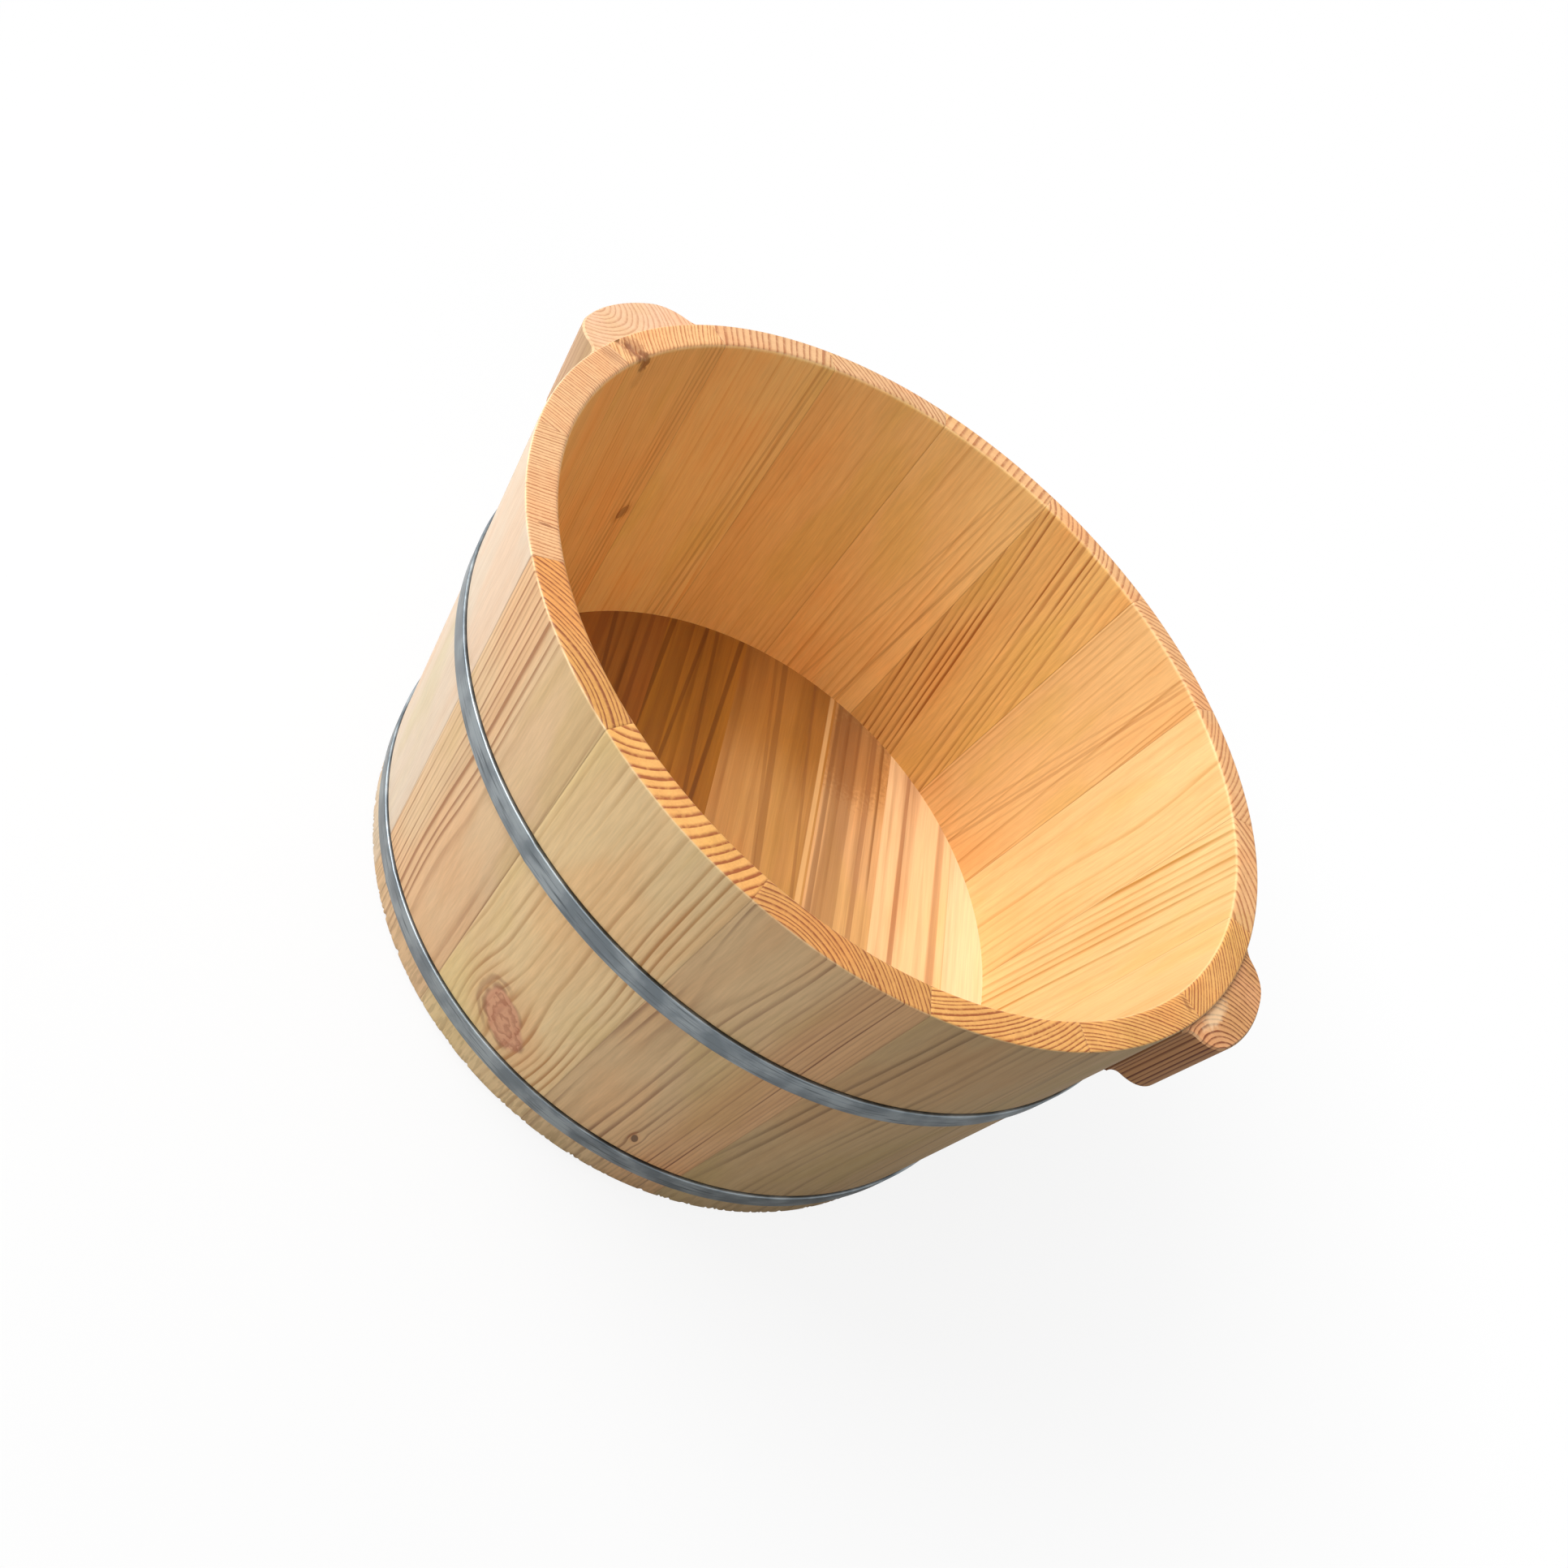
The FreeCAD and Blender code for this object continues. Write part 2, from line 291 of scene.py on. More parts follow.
# %% [markdown]
# ## Fibres
# Between the rings, pine has fine fibres a fraction of a millimetre wide and centimetres long.
# The same stretched noise shows as streaks on a face and as dots on an end. A second, much
# larger noise gives the slow change of tone that no two boards share.

# %% Fibres and slow tone
fibre_group, given, result = start_group(
    "fibres", [("Point", VECTOR, None), ("Seed", FLOAT, 0.0)],
    [("Fibre", FLOAT), ("Streak", FLOAT), ("Sweep", FLOAT), ("Cloud", FLOAT)])
tree = fibre_group
moved = seeded(tree, given)
# name, scale, detail, and how little the noise changes along the grain
for label, scale, detail, along_grain in (
        ("Fibre", 1300.0, 2.0, 0.03), ("Streak", 240.0, 3.0, 0.03),
        ("Sweep", 62.0, 3.0, 0.07), ("Cloud", 24.0, 3.0, 0.35)):
    feed(tree, grit(tree, moved, scale, detail, (1.0, 1.0, along_grain)), result[label])
print("group", fibre_group.name, "nodes", len(fibre_group.nodes))

# %% [markdown]
# ## Knots
# A knot is a branch that the trunk grew round. On the face it is an oval of darker, redder
# wood with rings of its own, and the rings of the trunk part on both sides of it. The group
# gives a mask for the oval, the oval's own rings, its broken outline, a halo, and a push in
# metres that moves the trunk's rings aside.

# %% Knot: its oval and its outline
knot_group, given, result = start_group(
    "knot",
    [("Point", VECTOR, None), ("Across", FLOAT, 0.0), ("Along", FLOAT, 0.0),
     ("Width", FLOAT, 0.012), ("Length", FLOAT, 0.016), ("Side Push", FLOAT, 0.006)],
    [("Mask", FLOAT), ("Knot Rings", FLOAT), ("Outline", FLOAT), ("Halo", FLOAT),
     ("Reach", FLOAT), ("Push", FLOAT)])
tree = knot_group
depth, across, along = parts(tree, given["Point"])
wobble = calc(tree, "MULTIPLY_ADD", grit(tree, given["Point"], 75.0, 2.0), 0.5, -0.25)
side = offset(tree, across, given["Across"], given["Width"])
rise = offset(tree, along, given["Along"], given["Length"])
lean = calc(tree, "MULTIPLY_ADD", side, 0.45, rise)
reach = calc(tree, "ADD", wobble, diagonal(tree, side, lean))
feed(tree, reach, result["Reach"])
feed(tree, ramp(tree, reach, 0.80, 1.0, 1.0, 0.0), result["Mask"])
feed(tree, ramp(tree, reach, 0.7, 2.3, 1.0, 0.0), result["Halo"])
in_places = ramp(tree, grit(tree, given["Point"], 85.0, 1.0), 0.44, 0.60)
bark_line = calc(tree, "MULTIPLY", hill(tree, reach, 0.78, 0.90, 0.94, 1.08), in_places)
crescent = calc(tree, "MULTIPLY", hill(tree, reach, 1.02, 1.12, 1.18, 1.32), ramp(
    tree, side, -0.55, -0.15, 0.7, 0.0))
feed(tree, calc(tree, "MAXIMUM", bark_line, crescent), result["Outline"])
print("nodes for the oval", len(tree.nodes))

# %% Knot: its own rings, and its push on the trunk's rings
swirl = calc(tree, "DIVIDE", calc(tree, "ARCTAN2", lean, side), 2 * math.pi)
loose = calc(tree, "MULTIPLY_ADD", grit(tree, given["Point"], 230.0, 3.0), 2.2, swirl)
turns = calc(tree, "FRACT", calc(tree, "MULTIPLY_ADD", reach, 2.2, loose))
feed(tree, hill(tree, turns, 0.3, 0.8, 0.85, 1.0), result["Knot Rings"])
far_aside = calc(tree, "ABSOLUTE", side)
both_ways = calc(tree, "DIVIDE", side, calc(tree, "ADD", far_aside, 0.6))
lane = ramp(tree, far_aside, 0.4, 3.4, 1.0, 0.0)
span = ramp(tree, calc(tree, "ABSOLUTE", rise), 0.0, 3.2, 1.0, 0.0)
feed(tree, product(tree, both_ways, lane, span, given["Side Push"]), result["Push"])
print("group", knot_group.name, "nodes", len(knot_group.nodes))

# %% [markdown]
# ## Stains and small cracks
# A used tub has a few dark marks: a crack across the rim, a stain where a corner was chipped.
# The same blob also gives a painted highlight on a handle and a painted shade on the floor by
# the far wall. Each is an uneven blob round a place, longer one way than the others. It changes
# the colour and sinks the bump a little.

# %% Stain
stain_group, given, result = start_group(
    "stain", [("Point", VECTOR, None), ("Place", VECTOR, None), ("Reach", VECTOR, None)],
    [("Mask", FLOAT)])
tree = stain_group
away = vector_calc(tree, "SUBTRACT", given["Point"], given["Place"])
far = vector_number(tree, "LENGTH", vector_calc(tree, "DIVIDE", away, given["Reach"]))
ragged = calc(tree, "MULTIPLY_ADD", grit(tree, given["Point"], 420.0, 3.0), 1.1, -0.55)
feed(tree, ramp(tree, calc(tree, "ADD", far, ragged), 0.55, 1.0, 1.0, 0.0), result["Mask"])
print("group", stain_group.name, "nodes", len(stain_group.nodes))

# %% [markdown]
# ## One recipe for every board
# The recipe turns the object's coordinates until the grain runs along Z, and asks the groups
# for their masks. An upright board has three kinds of face: the outside, the inside and the
# sawn ends. Sawn ends drink more oil, so they are deeper in colour and show their rings most.
# The surface's own normal tells which of the three a point lies on, and it also finds the
# rounded corners. A floor board shows only its upper face, so it needs none of this.

# %% Where a point lies on its board
base_radius, rim_radius, wall = 166 * mm, 180 * mm, 12.5 * mm
rim_height = 200 * mm
wall_slope = (rim_radius - base_radius) / rim_height
stave_middle = rim_radius - wall / 2
print("the wall leans outwards by", round(math.degrees(math.atan(wall_slope)), 2), "degrees")


def board_point(tree, turn, lying=False):
    """The object's coordinates, turned so that the grain runs along Z."""
    node = tree.nodes.new("ShaderNodeVectorRotate")
    node.rotation_type = "Z_AXIS"
    feed(tree, tree.nodes.new("ShaderNodeTexCoord").outputs["Object"], node.inputs["Vector"])
    node.inputs["Angle"].default_value = -turn
    if not lying:
        return node.outputs[0]
    along, across, depth = parts(tree, node.outputs[0])
    return joined(tree, depth, across, along)


def facing(tree, turn):
    """How far the surface faces up, and how far it faces outwards at the board's middle."""
    normal = tree.nodes.new("ShaderNodeNewGeometry").outputs["Normal"]
    outwards = (math.cos(turn), math.sin(turn), 0.0)
    return parts(tree, normal)[2], vector_number(tree, "DOT_PRODUCT", normal, outwards)


# %% Mounds and lines on a board
def swell(tree, point, across, along, width, length):
    """A soft mound, 1 at its middle and 0 at its edge. It turns straight rings into an arch."""
    _, side, rise = parts(tree, point)
    far = diagonal(tree, offset(tree, side, across, width), offset(tree, rise, along, length))
    return ramp(tree, far, 0.0, 1.0, 1.0, 0.0)


def streak(tree, point, start, slope, half):
    """A ragged line along the grain: where it starts across, how it leans, half its width."""
    _, across, along = parts(tree, point)
    upright = calc(tree, "MULTIPLY_ADD", along, -slope, across)
    squeezed = calc(tree, "MULTIPLY", along, 0.012)
    return place_group(
        tree, stain_group, point=joined(tree, 0.0, upright, squeezed),
        place=(0.0, start, 0.0), reach=(1.0, half, 9 * mm))["Mask"]


# %% [markdown]
# ## The steps of the recipe
# First the recipe gathers what it knows at a point, in a dictionary. Then it works in the
# order in which wood comes about: the rings, the fibres and the knots grow, the edges wear,
# the foot stands in the wet, and marks come last. Each step takes the colour so far and gives
# it back changed. A board's look is a dictionary too: the place and drift of its pith, its
# rings, its pale and dark colours, and whatever else is special about it.

# %% What is known at a point
def read_board(tree, turn, look, lying, knots):
    """A point's place on the board, its kind of face, its rings, its fibres and its knots."""
    point = board_point(tree, turn, lying)
    push, knot_marks = 0.0, []
    for across, along, width, length, side_push in knots:
        marks = place_group(tree, knot_group, point=point, across=across, along=along,
                            width=width, length=length, side_push=side_push)
        push = calc(tree, "ADD", push, marks["Push"])
        knot_marks.append((marks, width))
    for *mound, amount in look.get("swells", ()):
        push = calc(tree, "MULTIPLY_ADD", swell(tree, point, *mound), amount, push)
    up, outward = facing(tree, turn)
    steep = calc(tree, "ABSOLUTE", up)
    return {
        "point": point, "knots": knot_marks, "steep": steep,
        "end": 0.0 if lying else ramp(tree, steep, 0.45, 0.85),
        "inside": 0.0 if lying else ramp(tree, outward, -0.3, 0.3, 1.0, 0.0),
        "rings": place_group(
            tree, rings_group, point=point, pith_depth=look["pith"][0], pith_across=look["pith"][1],
            drift_depth=look["drift"][0], drift_across=look["drift"][1],
            drift_from=look.get("drift_from", rim_height), ring_width=look["rings"],
            wander=look.get("wander", 1.6 * mm), push=push, seed=look["seed"]),
        "fibres": place_group(tree, fibre_group, point=point, seed=look["seed"]),
    }


def three_way(tree, at, values):
    """Picks between values for the outside, the inside and the sawn ends."""
    outer, inner, sawn = values
    faces = calc(tree, "MULTIPLY_ADD", at["inside"], inner - outer, outer)
    return calc(tree, "MULTIPLY_ADD", at["end"], calc(tree, "SUBTRACT", sawn, faces), faces)


# %% Rings
def ring_lines(tree, at, look):
    """How dark the rings make a point. Most are faint, a few are strong, and all of them fade."""
    point, end, bold = at["point"], at["end"], look.get("bold", 0.0)
    strength = three_way(tree, at, look["contrast"])
    for patch in look.get("quiet", ()):
        # a quiet place has hardly any rings on its face, but keeps them on the sawn end
        calm = calc(tree, "MULTIPLY", swell(tree, point, *patch), calc(
            tree, "MULTIPLY_ADD", end, -0.95, 0.95))
        strength = calc(tree, "MULTIPLY", strength, calc(tree, "SUBTRACT", 1.0, calm))
    shown = calc(tree, "MULTIPLY_ADD", ramp(tree, at["rings"]["Ring Tone"], 0.30, 0.95), 1.05, 0.25)
    shown = largest(tree, shown, calc(tree, "MULTIPLY", end, 0.9), bold)
    on_faces = largest(tree, ramp(tree, at["fibres"]["Cloud"], 0.36, 0.60, 0.45, 1.1), bold)
    dashes = grit(tree, point, 520.0, 2.0, (1.0, 1.0, 0.05))
    on_ends = ramp(tree, dashes, 0.34, 0.54, 0.68, 1.08)
    fade = calc(tree, "MULTIPLY_ADD", end, calc(tree, "SUBTRACT", on_ends, on_faces), on_faces)
    return product(tree, at["rings"]["Latewood"], strength, shown, fade)


# %% Colour of the grown wood
def grown_wood(tree, at, look, band, lying):
    """Mixes pale and dark wood by the rings, the fibres and the halos of the knots."""
    pale, dark = look["outer"]
    if not lying:
        pale, dark = [
            blend(tree, at["end"], blend(tree, at["inside"], outer, inner), sawn)
            for outer, inner, sawn in zip(look["outer"], look["inner"], look["end"])]
    darkness = calc(tree, "ADD", band, 0.08)
    for label in ("Streak", "Sweep"):
        share = look.get(label.lower(), 0.40)
        around_none = calc(tree, "MULTIPLY_ADD", at["fibres"][label], share, -0.5 * share)
        darkness = calc(tree, "ADD", darkness, around_none)
    for marks, _ in at["knots"]:
        halo = calc(tree, "MULTIPLY", marks["Halo"], at["rings"]["Latewood"])
        darkness = calc(tree, "MULTIPLY_ADD", halo, 0.7, darkness)
    return blend(tree, calc(tree, "MINIMUM", calc(tree, "MAXIMUM", darkness, 0.0), 1.0), pale, dark)


def slow_tones(tree, at, look, colour):
    """Grey clouds, a painted shade that makes one side darker and redder, and patches of pink and olive.
    """
    cloud = at["fibres"]["Cloud"]
    tone = calc(tree, "ADD", calc(tree, "MULTIPLY_ADD", cloud, 0.20, 0.88), calc(
        tree, "MULTIPLY_ADD", at["fibres"]["Fibre"], 0.30, -0.13))
    grey = tree.nodes.new("ShaderNodeCombineColor")
    for socket in grey.inputs:
        feed(tree, tone, socket)
    colour = blend(tree, 1.0, colour, grey.outputs[0], "MULTIPLY")
    # painted shade: the heart key gives a tint that darkens and reddens the outer face towards one side
    # or one end
    if look.get("heart"):
        axis, start, finish, tint = look["heart"]
        redder = ramp(tree, parts(tree, at["point"])[axis], start * mm, finish * mm)
        outer_face = calc(tree, "SUBTRACT", 1.0, calc(tree, "MAXIMUM", at["end"], at["inside"]))
        colour = blend(tree, calc(tree, "MULTIPLY", redder, outer_face), colour, srgb(*tint), "MULTIPLY")
    pink, olive = srgb(255, 245, 238), srgb(250, 252, 238)
    colour = blend(tree, ramp(tree, cloud, 0.50, 0.66), colour, pink, "MULTIPLY")
    return blend(tree, ramp(tree, cloud, 0.34, 0.48, 1.0, 0.0), colour, olive, "MULTIPLY")


# %% Colour of the knots
def knot_wood(tree, at, look, colour):
    """Lays each knot over the board: its halo, its heart and its outline."""
    for marks, width in at["knots"]:
        # a small knot is dead wood, dark all through; a large one is pink and swirled
        small = width < 4 * mm
        pale, dark = ((76, 46, 28), (60, 34, 20)) if small else ((206, 144, 110), (172, 104, 74))
        heart = blend(tree, marks["Knot Rings"], srgb(*pale), srgb(*dark))
        core = calc(tree, "MULTIPLY", at["rings"]["Latewood"], ramp(
            tree, marks["Reach"], 0.0, 0.55, 0.45, 0.0))
        heart = blend(tree, core, heart, srgb(140, 70, 50))
        colour = blend(tree, calc(tree, "MULTIPLY", marks["Halo"], 0.30), colour, srgb(206, 140, 84))
        colour = blend(tree, calc(tree, "MULTIPLY", marks["Mask"], look["knot"]), colour, heart)
        colour = blend(tree, calc(tree, "MULTIPLY", marks["Outline"], 0.60), colour, srgb(132, 80, 44))
    return colour


# %% Wear and wet
def worn_edges(tree, at, look, colour):
    """A rounded corner wears pale in places. A slanting surface is such a corner."""
    slant = calc(tree, "ABSOLUTE", calc(tree, "SUBTRACT", at["steep"], 0.55))
    corner = ramp(tree, slant, 0.12, 0.38, 1.0, 0.0)
    in_places = ramp(tree, grit(tree, at["point"], 130.0, 3.0), 0.38, 0.60, 0.15, 1.0)
    outer, inner = look.get("worn", 0.4), 0.2
    most = calc(tree, "MULTIPLY_ADD", at["inside"], inner - outer, outer)
    return blend(tree, product(tree, corner, in_places, most), colour, look["edge"])


def damp_foot(tree, at, look, colour):
    """Below the lower hoop the wood is damp, olive and full of small ticks."""
    dry_from, wet_below = 15 * mm, 11 * mm
    damp = calc(tree, "MULTIPLY", ramp(
        tree, parts(tree, at["point"])[2], wet_below, dry_from, 1.0, 0.0), look["foot"])
    ticks = ramp(tree, grit(tree, at["point"], 640.0, 2.0, (1.0, 1.0, 0.12)), 0.46, 0.60)
    colour = blend(tree, calc(tree, "MULTIPLY", damp, 0.6), colour, srgb(204, 180, 140))
    return blend(tree, product(tree, damp, ticks, 0.5), colour, srgb(140, 110, 72))


# %% Dark streaks and stains
def dark_streaks(tree, at, look, colour, lying):
    """Lines along the grain, on the inner side of a stave or on the top of a floor board."""
    for start, slope, half, amount, tint in look.get("streaks", ()):
        mask = streak(tree, at["point"], start * mm, slope, half * mm)
        if not lying:
            mask = product(tree, mask, at["inside"], calc(tree, "SUBTRACT", 1.0, at["end"]))
        colour = blend(tree, calc(tree, "MULTIPLY", mask, amount), colour, srgb(*tint))
    return colour


def lay_stain_and_light_marks(tree, at, stain_and_light_marks, colour):
    """Lays each stain, painted highlight and painted shade over the colour, and says how deep they sink
    the surface.
    """
    sunk = 0.0
    for place, reach, amount, tint in stain_and_light_marks:
        mask = place_group(tree, stain_group, point=at["point"], place=place, reach=reach)["Mask"]
        colour = blend(tree, calc(tree, "MULTIPLY", mask, amount), colour, srgb(*tint))
        sunk = calc(tree, "MULTIPLY_ADD", mask, amount * 2.0, sunk)
    return colour, sunk


# %% Gloss and bump
def oiled_finish(tree, shader, at, look, band, sunk):
    """Oil lies unevenly on the fibres, the latewood is smoother and stands a little proud."""
    fibre, fine = at["fibres"]["Fibre"], at["fibres"]["Streak"]
    rough = calc(tree, "MULTIPLY_ADD", fine, 0.18, look.get("gloss", 0.44))
    feed(tree, calc(tree, "MULTIPLY_ADD", band, -0.06, rough), shader.inputs["Roughness"])
    shader.inputs["Specular IOR Level"].default_value = 0.35
    relief = calc(tree, "MULTIPLY_ADD", fibre, 0.9, calc(tree, "MULTIPLY", fine, 0.8))
    relief = calc(tree, "MULTIPLY_ADD", band, 0.8, relief)
    bumped(tree, shader, calc(tree, "SUBTRACT", relief, sunk), 0.45, 0.10 * mm)


# %% The whole recipe
def board_wood(name, turn, look, lying=False, knots=(), stain_and_light_marks=(), joints=None):
    """A procedural wood for one board, from its pith, its rings and its colours."""
    material = bpy.data.materials.new(name)
    material.use_nodes = True
    tree = material.node_tree
    shader = tree.nodes["Principled BSDF"]
    at = read_board(tree, turn, look, lying, knots)
    band = ring_lines(tree, at, look)
    colour = grown_wood(tree, at, look, band, lying)
    colour = slow_tones(tree, at, look, colour)
    colour = knot_wood(tree, at, look, colour)
    if not lying:
        colour = worn_edges(tree, at, look, colour)
    if "foot" in look:
        colour = damp_foot(tree, at, look, colour)
    if joints is not None:
        line = calc(tree, "MULTIPLY", joints(tree, at["point"]), three_way(tree, at, (0.28, 0.30, 0.12)))
        colour = blend(tree, line, colour, srgb(120, 74, 38))
    colour = dark_streaks(tree, at, look, colour, lying)
    colour, sunk = lay_stain_and_light_marks(tree, at, stain_and_light_marks, colour)
    feed(tree, colour, shader.inputs["Base Color"])
    oiled_finish(tree, shader, at, look, band, sunk)
    return material


# %% [markdown]
# ## The sixteen staves
# Each stave is a cut from another plank. The table of looks gives the pith as two lengths from
# the middle of the stave's end at the rim: outwards, and to the right seen from outside. A pith
# far to one side gives straight lines on the face and lines straight across the rim. A pith
# close behind the face gives arches on the face and nested arcs on the rim. The rim's own arcs
# in the photograph give each of these places.

# %% Woods of the staves
# each wood is a pale and a dark colour
outer_woods = {
    "cream": ((214, 194, 170), (200, 163, 126)),
    "tan": ((216, 184, 136), (172, 126, 72)),
    "golden": ((230, 198, 146), (178, 128, 72)),
    "pinkish": ((218, 183, 139), (162, 114, 70)),
    "striped": ((214, 179, 131), (134, 90, 54)),
    # painted shade: a darker copy of the outer wood for staves 15 and 16, where the tub's side lies in
    # shade
    "painted_shade_wood": ((188, 155, 108), (130, 98, 58)),
    "plain": ((206, 178, 140), (166, 126, 86)),
}
inner_woods = {
    "bright": ((244, 208, 148), (192, 142, 70)),
    "honey": ((236, 192, 130), (190, 136, 74)),
    "warm": ((250, 208, 138), (206, 146, 78)),
    "strong": ((236, 188, 115), (164, 102, 48)),
    "light": ((255, 220, 150), (222, 164, 94)),
}
rim_woods = {
    "orange": ((224, 166, 94), (148, 80, 34)),
    "peach": ((224, 172, 118), (172, 110, 62)),
    "amber": ((206, 148, 82), (134, 72, 32)),
    "dusty": ((213, 168, 122), (164, 108, 66)),
}
# pith outwards and right, ring width (mm), drift outwards and right (share of the height),
# outer, inner and rim wood, contrast of the rings outside and inside
stave_cuts = {
    1: (-126, -85, 1.6, 0.01, 0.02, "plain", "bright", "orange", 0.5, 0.15),
    2: (-60, -45, 3.6, -0.05, -0.03, "plain", "bright", "peach", 0.4, 0.65),
    3: (-90, 60, 2.6, 0.01, 0.01, "tan", "bright", "peach", 0.4, 0.30),
    4: (-70, -90, 3.0, 0.00, 0.01, "plain", "honey", "peach", 0.4, 0.40),
    5: (-35, 75, 3.6, -0.10, 0.14, "tan", "strong", "peach", 0.7, 0.80),
    6: (-25, -140, 4.2, 0.00, 0.00, "tan", "warm", "peach", 0.5, 0.45),
    7: (-60, 90, 3.0, 0.02, 0.00, "tan", "warm", "dusty", 0.5, 0.25),
    8: (-50, -110, 3.6, 0.02, 0.02, "plain", "light", "dusty", 0.5, 0.40),
    9: (-60, -90, 1.9, 0.02, 0.03, "cream", "warm", "peach", 0.45, 0.35),
    10: (8, 130, 1.7, 0.00, 0.00, "cream", "warm", "dusty", 0.30, 0.3),
    11: (14, -170, 1.6, 0.00, 0.00, "cream", "warm", "dusty", 0.25, 0.3),
    12: (56, 22, 1.9, 0.00, 0.00, "pinkish", "warm", "amber", 0.90, 0.5),
    13: (-17, -42, 3.6, 0.00, 0.00, "golden", "warm", "orange", 0.65, 0.5),
    14: (35, -23, 1.75, 0.00, 0.00, "striped", "warm", "amber", 0.90, 0.5),
    15: (-112, -44, 1.7, 0.03, -0.05, "painted_shade_wood", "warm", "orange", 0.55, 0.5),
    16: (157, -78, 1.6, 0.02, 0.02, "painted_shade_wood", "bright", "orange", 0.55, 0.3),
}
stave_angle = math.radians(360 / len(stave_cuts))
print("staves", len(stave_cuts), "angle of one", math.degrees(stave_angle))

# %% [markdown]
# ## What is special about a stave
# Some staves have more to them. Stave 13 has a large knot, and 9 and 14 a small one each. A
# soft mound of pushed rings makes an arch. In a quiet place the rings fade from the face. A
# painted shade makes stave 14 darker and redder towards stave 15, which lies in shade. Old
# resin channels draw dark lines on the inner side. The rim has a few cracks, and a stain where
# a corner broke out.

# %% Knots, arches, quiet places, lines and stains
# across, along, half width, half length, push (mm)
stave_knots = {
    13: [(0.5, 46, 13.5, 13.5, -7.5)],
    14: [(4.6, 40, 1.7, 2.8, -1.5)],
    9: [(-25, 101, 2.6, 3.4, -1.5)],
}
# across, along, half width, half length, height of the mound (mm)
stave_swells = {
    14: [(-18, 205, 60, 74, -2.7)],
    13: [(22, 96, 26, 60, -2.4)],
    12: [(-10, 60, 24, 80, -1.8)],
    15: [(10, 70, 30, 90, 1.5)],
    3: [(-6, 150, 30, 70, -3.0)],
}
# across, along, half width, half length (mm)
stave_quiet = {
    14: [(-18, 186, 26, 60), (-22, 70, 26, 90), (-31, 150, 16, 44)],
    13: [(-16, 150, 18, 70)],
    15: [(18, 165, 26, 60)],
}
# painted shade, darker and redder towards the neighbour in shade: the axis across (1) or
# along (2) the board, where the tint starts and is full (mm), the tint
stave_painted_shade_tints = {14: (1, 0, 16, (250, 232, 220))}
# across at the base (mm), lean, half width (mm), strength
stave_streaks = {
    4: [(-0.7, -0.098, 1.2, 0.34), (2.0, -0.100, 0.8, 0.26), (8.5, -0.120, 0.8, 0.24),
        (-5.5, -0.095, 0.8, 0.20)],
    6: [(-14.6, -0.082, 1.0, 0.34), (-18.0, -0.045, 0.8, 0.24), (8.9, -0.120, 0.8, 0.26),
        (3.0, -0.110, 0.7, 0.18)],
    8: [(-18.6, -0.039, 0.9, 0.32), (-23.0, -0.030, 0.9, 0.30), (-14.5, -0.035, 0.8, 0.20)],
    9: [(-18.4, -0.046, 1.0, 0.32), (-21.5, -0.046, 0.8, 0.26), (-15.5, -0.046, 0.8, 0.24),
        (-12.5, -0.046, 0.8, 0.18)],
}
# the middle of the mark outwards, right and up, how far it reaches each way (mm), strength
stave_stains = {
    9: [((171, 23, 200), (9.0, 7.5, 3.0), 0.5), ((177, 28.5, 200), (5.0, 2.6, 3.0), 0.45),
        ((171, 24.5, 200), (6.0, 2.6, 3.0), 0.75), ((166.5, 19.5, 197), (5.0, 4.4, 6.0), 0.7),
        ((165, 19, 190), (5.0, 5.0, 8.0), 0.15)],
    10: [((173, -30, 200), (8.0, 3.0, 2.0), 0.3)],
    11: [((171, 18.2, 200), (4.5, 0.8, 3.0), 0.75)],
    16: [((170, 31.5, 200), (5.0, 1.4, 3.0), 0.5)],
}
resin_line, rim_stain = (160, 94, 36), (128, 72, 34)
worn_staves = (9, 10, 11, 12)
print("knots", sum(len(found) for found in stave_knots.values()))


# %% One material for each stave
def stave_joint_lines(tree, point):
    """Thin lines where the stave meets its neighbours."""
    outwards, across, _ = parts(tree, point)
    reach = calc(tree, "MULTIPLY", outwards, math.sin(stave_angle / 2))
    off = calc(tree, "MULTIPLY", calc(tree, "ABSOLUTE", across), math.cos(stave_angle / 2))
    return ramp(tree, calc(tree, "SUBTRACT", reach, off), 0.1 * mm, 0.45 * mm, 1.0, 0.0)


def colour_pair(pair):
    return [srgb(*c) for c in pair]


def scaled(values):
    return tuple(v * mm for v in values)


def scaled_stain_and_light_marks(stain_and_light_marks):
    """Stain and painted light marks with their places and reaches turned from millimetres to metres."""
    return [(scaled(place), scaled(reach), *rest) for place, reach, *rest in stain_and_light_marks]


